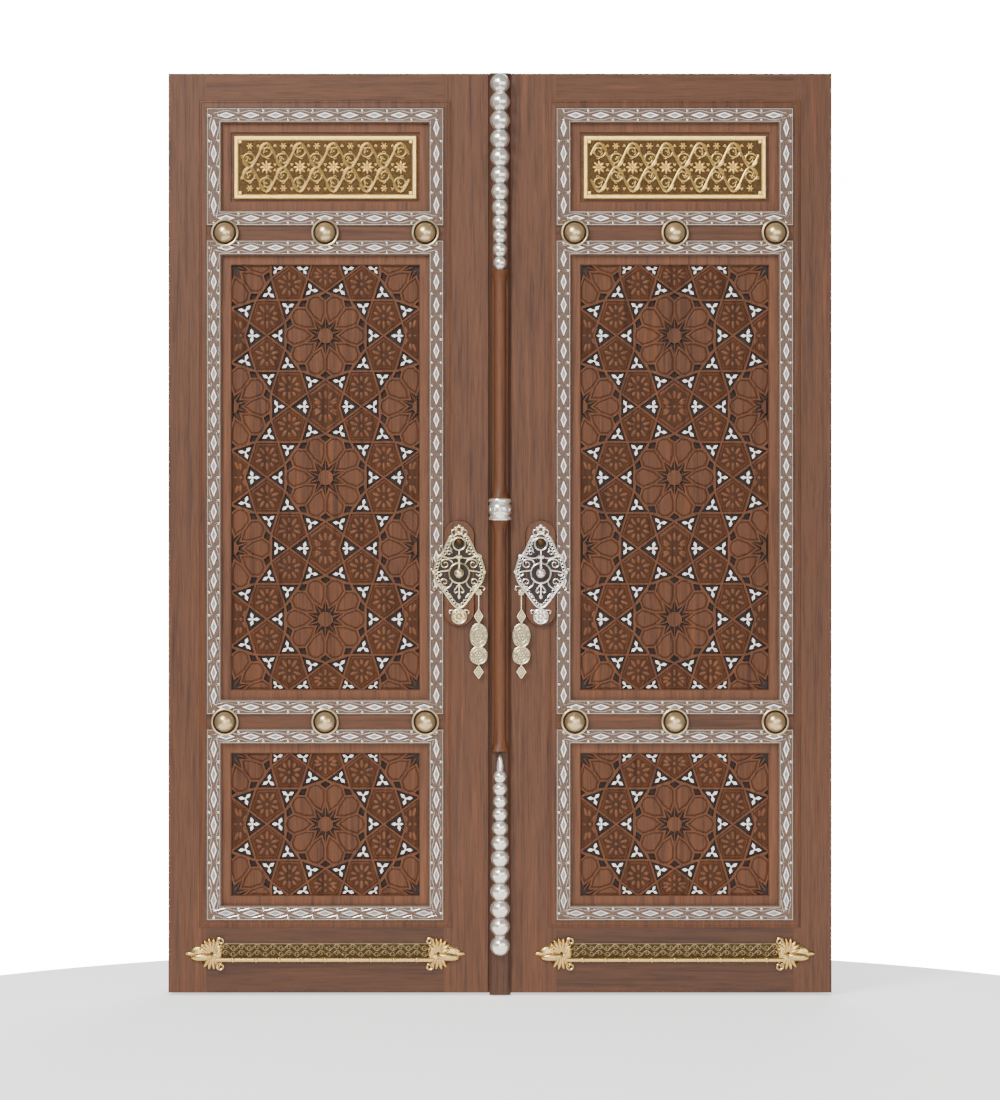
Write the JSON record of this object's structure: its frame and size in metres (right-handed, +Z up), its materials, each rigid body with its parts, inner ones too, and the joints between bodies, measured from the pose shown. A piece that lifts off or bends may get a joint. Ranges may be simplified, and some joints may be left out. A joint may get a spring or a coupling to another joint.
{
  "type": "carved double door",
  "caption": "Carved wooden double door on its frame, with star-pattern panels, silver-lined mouldings, brass plates, knockers, drop pulls and a lock bolt; both leaves swing outwards.",
  "frame": {"origin": "on the floor, at the middle of the threshold", "axes": "+X to the right seen from outside, -Y towards the outside, +Z up"},
  "size_m": [1.804, 0.228, 2.508],
  "materials": {
    "walnut": "satin",
    "carved_walnut": "satin",
    "moulding_walnut": "satin",
    "frame_walnut": "satin",
    "silver": "aged silver",
    "pearl": "pearly",
    "brass": "cast, aged",
    "boss_metal": "polished",
    "lock_metal": "chased, aged",
    "kick_brass": "cast, aged",
    "hinge_steel": "dull"
  },
  "bodies": {
    "frame": {"left_jamb": "frame_walnut", "right_jamb": "frame_walnut", "head": "frame_walnut", "threshold": "frame_walnut", "frame_hinge_plates": "hinge_steel", "hinge_pins": "hinge_steel"},
    "left_leaf": {"left_bosses": "boss_metal", "left_bottom_rail": "walnut", "left_brass_plate": "brass", "left_hinge_stile": "walnut", "left_kick_bar": "kick_brass", "left_leaf_hinge_plates": "hinge_steel", "left_lock_pad": "walnut", "left_lock_plate": "lock_metal", "left_lower_moulding": "moulding_walnut", "left_lower_panel": "carved_walnut", "left_lower_rail": "walnut", "left_meeting_stile": "walnut", "left_middle_moulding": "moulding_walnut", "left_middle_panel": "carved_walnut", "left_pearl_inlay": "pearl", "left_pull_staple": "lock_metal", "left_silver_inlay": "silver", "left_top_rail": "walnut", "left_upper_moulding": "moulding_walnut", "left_upper_panel": "walnut", "left_upper_rail": "walnut"},
    "right_leaf": {"right_bosses": "boss_metal", "right_bottom_rail": "walnut", "right_brass_plate": "brass", "right_hinge_stile": "walnut", "right_kick_bar": "kick_brass", "right_leaf_hinge_plates": "hinge_steel", "right_lock_pad": "walnut", "right_lock_plate": "lock_metal", "right_lower_moulding": "moulding_walnut", "right_lower_panel": "carved_walnut", "right_lower_rail": "walnut", "right_meeting_stile": "walnut", "right_middle_moulding": "moulding_walnut", "right_middle_panel": "carved_walnut", "right_pearl_inlay": "pearl", "right_pull_staple": "lock_metal", "right_silver_inlay": "silver", "right_top_rail": "walnut", "right_upper_moulding": "moulding_walnut", "right_upper_panel": "walnut", "right_upper_rail": "walnut", "astragal_batten": "walnut", "astragal_shaft": "walnut", "astragal_collar": "silver", "upper_spindle": "silver", "lower_spindle": "silver", "lock_case": "hinge_steel"},
    "left_knocker": {"left_knocker": "lock_metal"},
    "right_knocker": {"right_knocker": "lock_metal"},
    "left_pull": {"left_drop_pull": "lock_metal"},
    "right_pull": {"right_drop_pull": "lock_metal"},
    "lock_bolt": {"lock_bolt": "hinge_steel"}
  },
  "joints": [
    {"name": "left_leaf_hinge", "type": "hinge", "parent": "frame", "child": "left_leaf", "pos_m": [-0.89, -0.0615, 0], "axis": [0, 0, -1], "range_deg": [0, 95]},
    {"name": "right_leaf_hinge", "type": "hinge", "parent": "frame", "child": "right_leaf", "pos_m": [0.89, -0.0615, 0], "axis": [0, 0, 1], "range_deg": [0, 95]},
    {"name": "left_knocker_swing", "type": "hinge", "parent": "left_leaf", "child": "left_knocker", "pos_m": [-0.111, -0.1545, 1.193], "axis": [-1, 0, 0], "range_deg": [0, 80]},
    {"name": "right_knocker_swing", "type": "hinge", "parent": "right_leaf", "child": "right_knocker", "pos_m": [0.111, -0.1545, 1.193], "axis": [-1, 0, 0], "range_deg": [0, 80]},
    {"name": "left_pull_swing", "type": "hinge", "parent": "left_leaf", "child": "left_pull", "pos_m": [-0.058, -0.135, 1.097], "axis": [-1, 0, 0], "range_deg": [0, 80]},
    {"name": "right_pull_swing", "type": "hinge", "parent": "right_leaf", "child": "right_pull", "pos_m": [0.058, -0.135, 1.097], "axis": [-1, 0, 0], "range_deg": [0, 80]},
    {"name": "lock_bolt_slide", "type": "slide", "parent": "right_leaf", "child": "lock_bolt", "axis": [-1, 0, 0], "range_m": [0, 0.018]}
  ]
}
